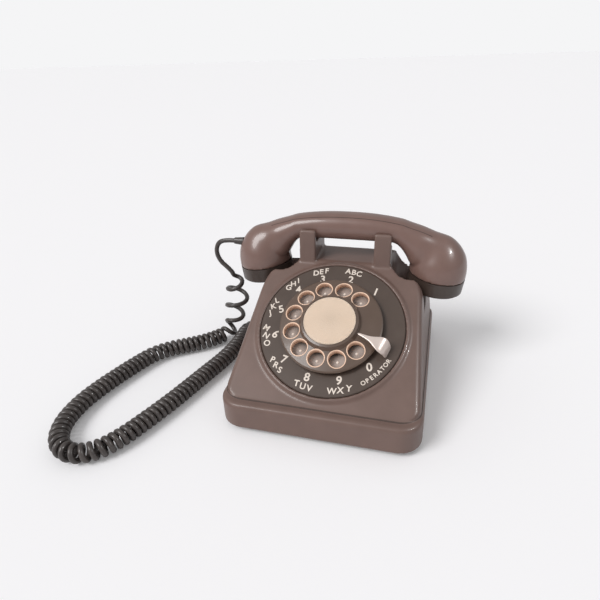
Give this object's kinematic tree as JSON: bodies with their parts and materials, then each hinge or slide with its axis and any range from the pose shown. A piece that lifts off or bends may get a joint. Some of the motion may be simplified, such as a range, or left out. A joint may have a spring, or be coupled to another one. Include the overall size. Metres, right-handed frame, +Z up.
{
  "type": "rotary desk telephone",
  "caption": "Rotary desk telephone: sloping case with a finger-wheel dial, a handset lying on a pronged cradle and a curled handset cord.",
  "frame": {"origin": "on the table, under the middle of the case's skirt", "axes": "+X to the right along the handset, +Y to the back, +Z up; the dial faces -Y and up"},
  "size_m": [0.3385, 0.2806, 0.149],
  "materials": {
    "case_plastic": "gloss",
    "cap_plastic": "gloss",
    "ring_plastic": "satin",
    "wheel_plastic": "gloss",
    "card_paper": "matte",
    "clear_plastic": "clear",
    "plated_steel": "satin",
    "bright_steel": "polished",
    "spring_steel": "satin",
    "gear_brass": "satin",
    "gong_brass": "polished",
    "copper_wire": "satin",
    "unit_alloy": "satin",
    "black_resin": "matte",
    "tan_laminate": "matte",
    "foot_rubber": "matte",
    "cord_vinyl": "satin"
  },
  "bodies": {
    "base": {"housing": "case_plastic", "base_plate": "plated_steel", "rubber_feet": "foot_rubber", "housing_screws": "bright_steel", "line_cord_bush": "foot_rubber", "handset_cord_bush": "cord_vinyl", "network_block": "black_resin", "network_terminals": "gear_brass", "hookswitch_bracket": "plated_steel", "hook_pivot_pin": "bright_steel", "contact_insulator": "tan_laminate", "hookswitch_contacts": "gear_brass", "ringer_frame": "plated_steel", "ringer_core": "spring_steel", "ringer_coil": "copper_wire", "gong_left": "gong_brass", "gong_right": "gong_brass", "gong_posts": "plated_steel", "gong_screws": "bright_steel", "clapper_pin": "bright_steel", "number_ring": "ring_plastic", "finger_stop": "bright_steel", "dial_plate": "plated_steel", "dial_bushing": "gear_brass", "dial_brackets": "plated_steel", "intermediate_arbor": "bright_steel", "governor_cup": "plated_steel", "dial_bridge": "plated_steel", "bridge_pillars": "bright_steel", "pulse_insulator": "tan_laminate", "pulse_contacts": "gear_brass", "main_spring": "spring_steel", "handset_cord": "cord_vinyl"},
    "handset": {"handset_shell": "case_plastic", "receiver_cap": "cap_plastic", "receiver_unit": "unit_alloy", "transmitter_cap": "cap_plastic", "transmitter_unit": "unit_alloy", "transmitter_contact_cup": "tan_laminate", "handset_cord_gland": "cord_vinyl"},
    "plunger_left": {"cradle_plunger_left": "cap_plastic"},
    "plunger_right": {"cradle_plunger_right": "cap_plastic"},
    "hook_lever": {"hookswitch_lever": "plated_steel"},
    "dial": {"finger_wheel": "wheel_plastic", "number_card": "card_paper", "card_cover": "clear_plastic", "dial_shaft": "bright_steel", "main_gear": "gear_brass", "pulse_cam": "tan_laminate"},
    "intermediate": {"intermediate_gear": "gear_brass"},
    "governor_rotor": {"governor": "gear_brass"},
    "clapper_arm": {"clapper": "plated_steel"},
    "loudness": {"loudness_wheel": "black_resin"}
  },
  "joints": [
    {"name": "handset_lift", "type": "slide", "parent": "base", "child": "handset", "axis": [0, 0, 1], "range_m": [0, 0.12]},
    {"name": "plunger_left_rise", "type": "slide", "parent": "base", "child": "plunger_left", "axis": [0, 0, 1], "range_m": [0, 0.006]},
    {"name": "plunger_right_rise", "type": "slide", "parent": "base", "child": "plunger_right", "axis": [0, 0, 1], "range_m": [0, 0.006]},
    {"name": "hook_lever_turn", "type": "hinge", "parent": "base", "child": "hook_lever", "pos_m": [0, 0.024, 0.066], "axis": [1, 0, 0], "range_deg": [0, 15]},
    {"name": "finger_wheel_turn", "type": "hinge", "parent": "base", "child": "dial", "pos_m": [0, -0.03543, 0.07119], "axis": [0, -0.5373, 0.8434], "range_deg": [-330, 0], "stiffness_Nm_per_rad": 0.008, "springref_deg": 114.59},
    {"name": "intermediate_turn", "type": "hinge", "parent": "base", "child": "intermediate", "pos_m": [-0.0252, -0.03543, 0.07119], "axis": [0, -0.5373, 0.8434], "range_deg": [0, 1650]},
    {"name": "governor_turn", "type": "hinge", "parent": "base", "child": "governor_rotor", "pos_m": [-0.0252, -0.01772, 0.08247], "axis": [0, -0.5373, 0.8434], "range_deg": [-6600, 0]},
    {"name": "clapper_swing", "type": "hinge", "parent": "base", "child": "clapper_arm", "pos_m": [0, 0.034, 0.018], "axis": [0, 0, 1], "range_deg": [-9, 9]},
    {"name": "loudness_turn", "type": "hinge", "parent": "base", "child": "loudness", "pos_m": [0.066, 0.03, 0.0045], "axis": [0, 0, 1], "range_deg": [0, 150]}
  ],
  "couplings": [
    {"joint": "plunger_left_rise", "follows": "handset_lift", "ratio": 0.05},
    {"joint": "plunger_right_rise", "follows": "handset_lift", "ratio": 0.05},
    {"joint": "hook_lever_turn", "follows": "handset_lift", "rad_per_m": 2.1816},
    {"joint": "intermediate_turn", "follows": "finger_wheel_turn", "ratio": -5},
    {"joint": "governor_turn", "follows": "finger_wheel_turn", "ratio": 20}
  ]
}
